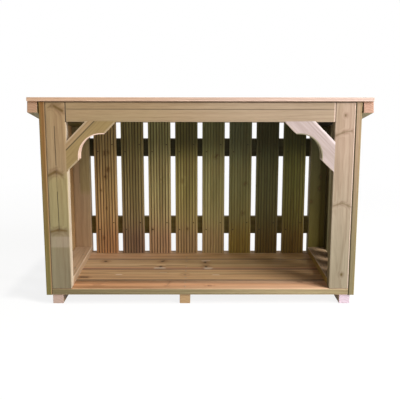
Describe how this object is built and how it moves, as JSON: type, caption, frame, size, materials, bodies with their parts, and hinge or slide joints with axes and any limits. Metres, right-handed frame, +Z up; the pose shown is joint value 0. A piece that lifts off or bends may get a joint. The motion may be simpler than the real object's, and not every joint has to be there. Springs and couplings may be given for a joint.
{
  "type": "log store",
  "caption": "Open-fronted timber log store with a lean-to roof, slatted back and sides, a boarded floor on bearers and shaped corner brackets.",
  "frame": {"origin": "centre of the overall box, on the ground under the bearers", "axes": "+X along the store to the right as seen from the front, +Y from the open front to the back, +Z up"},
  "size_m": [1.19, 0.5776, 0.7428],
  "materials": {
    "frame_timber": "planed softwood, pressure treated, faintly green, with eased edges",
    "floor_timber": "planed softwood boards, warm brown",
    "slat_timber": "reeded softwood boards, dark brown to olive",
    "roof_timber": "planed softwood boards, pale salmon brown",
    "batten_timber": "sawn softwood battens, pressure treated",
    "plated_steel": "zinc plated"
  },
  "bodies": {
    "root": {"back_rail_lower": "batten_timber", "back_rail_screws": "plated_steel", "back_rail_upper": "batten_timber", "back_slat_1": "slat_timber", "back_slat_2": "slat_timber", "back_slat_3": "slat_timber", "back_slat_4": "slat_timber", "back_slat_5": "slat_timber", "back_slat_6": "slat_timber", "back_slat_7": "slat_timber", "back_slat_8": "slat_timber", "back_slat_nails": "plated_steel", "bearer_left": "batten_timber", "bearer_middle": "batten_timber", "bearer_right": "batten_timber", "bottom_rail_screws": "plated_steel", "bracket_screws": "plated_steel", "corner_bracket_left": "frame_timber", "corner_bracket_right": "frame_timber", "floor_board_1": "floor_timber", "floor_board_2": "floor_timber", "floor_board_3": "floor_timber", "floor_board_4": "floor_timber", "floor_screws": "plated_steel", "front_post_left": "frame_timber", "front_post_right": "frame_timber", "lintel": "frame_timber", "lintel_screws": "plated_steel", "post_screws": "plated_steel", "rear_post_left": "frame_timber", "rear_post_right": "frame_timber", "roof_batten_left": "batten_timber", "roof_batten_right": "batten_timber", "roof_board_1": "roof_timber", "roof_board_2": "roof_timber", "roof_board_3": "roof_timber", "roof_board_4": "roof_timber", "roof_screws": "plated_steel", "side_bottom_rail_left": "frame_timber", "side_bottom_rail_right": "frame_timber", "side_slat_left_1": "slat_timber", "side_slat_left_2": "slat_timber", "side_slat_left_3": "slat_timber", "side_slat_left_4": "slat_timber", "side_slat_nails": "plated_steel", "side_slat_right_1": "slat_timber", "side_slat_right_2": "slat_timber", "side_slat_right_3": "slat_timber", "side_slat_right_4": "slat_timber", "side_top_rail_left": "frame_timber", "side_top_rail_right": "frame_timber"}
  },
  "joints": []
}
